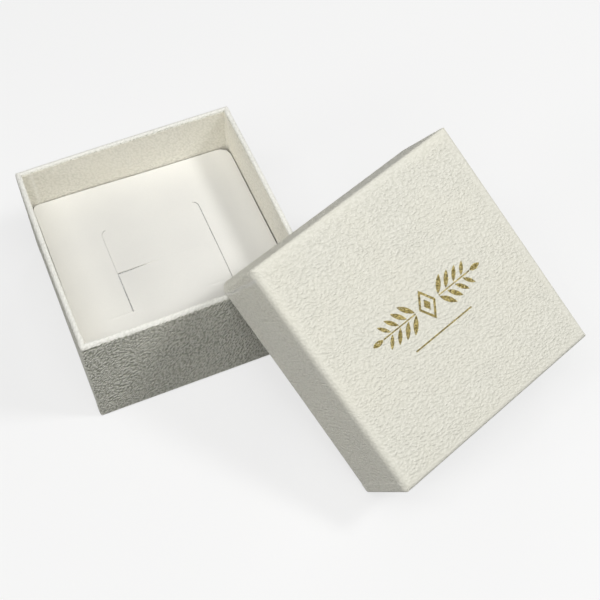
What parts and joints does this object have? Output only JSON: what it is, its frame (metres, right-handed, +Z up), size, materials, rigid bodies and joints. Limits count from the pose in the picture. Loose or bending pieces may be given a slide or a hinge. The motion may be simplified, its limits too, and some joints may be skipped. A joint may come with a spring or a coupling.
{
  "type": "jewelry gift box",
  "caption": "Small rigid lift-off-lid gift box in white leather-embossed paper, open, the lid leaning on the base; a slit card on foam holds jewelry.",
  "frame": {"origin": "centre of the base's underside, on the surface the box stands on", "axes": "+Z up, +Y towards the base's back wall, +X to the right seen from the front; the base's sides lie along X and Y"},
  "size_m": [0.1385, 0.1395, 0.0643],
  "materials": {
    "embossed_paper": "satin",
    "lining_paper": "matte",
    "grey_board": "matte",
    "corner_tape": "matte",
    "card": "matte",
    "foam": "matte",
    "foil": "satin"
  },
  "bodies": {
    "base": {"base_back_board": "grey_board", "base_back_liner": "lining_paper", "base_corner_tapes": "corner_tape", "base_floor_board": "grey_board", "base_floor_liner": "lining_paper", "base_front_board": "grey_board", "base_front_liner": "lining_paper", "base_left_board": "grey_board", "base_left_liner": "lining_paper", "base_right_board": "grey_board", "base_right_liner": "lining_paper", "base_wrap_back": "embossed_paper", "base_wrap_floor": "embossed_paper", "base_wrap_front": "embossed_paper", "base_wrap_left": "embossed_paper", "base_wrap_right": "embossed_paper"},
    "lid": {"lid_back_board": "grey_board", "lid_back_liner": "lining_paper", "lid_corner_tapes": "corner_tape", "lid_foil_ornament": "foil", "lid_front_board": "grey_board", "lid_front_liner": "lining_paper", "lid_left_board": "grey_board", "lid_left_liner": "lining_paper", "lid_right_board": "grey_board", "lid_right_liner": "lining_paper", "lid_top_board": "grey_board", "lid_top_liner": "lining_paper", "lid_wrap_back": "embossed_paper", "lid_wrap_front": "embossed_paper", "lid_wrap_left": "embossed_paper", "lid_wrap_right": "embossed_paper", "lid_wrap_top": "embossed_paper"},
    "insert": {"foam_pad": "foam", "slit_card": "card"},
    "back_flap": {"back_flap": "card"},
    "front_flap": {"front_flap": "card"}
  },
  "joints": [
    {"name": "lid_lift", "type": "slide", "parent": "base", "child": "lid", "axis": [0, 0, 1], "range_m": [0, 0.06]},
    {"name": "insert_lift", "type": "slide", "parent": "base", "child": "insert", "axis": [0, 0, 1], "range_m": [0, 0.015]},
    {"name": "back_flap_fold", "type": "hinge", "parent": "insert", "child": "back_flap", "pos_m": [0, 0.0152, 0.0218], "axis": [-1, 0, 0], "range_deg": [0, 90]},
    {"name": "front_flap_fold", "type": "hinge", "parent": "insert", "child": "front_flap", "pos_m": [0, -0.0174, 0.0218], "axis": [1, 0, 0], "range_deg": [0, 90]}
  ]
}
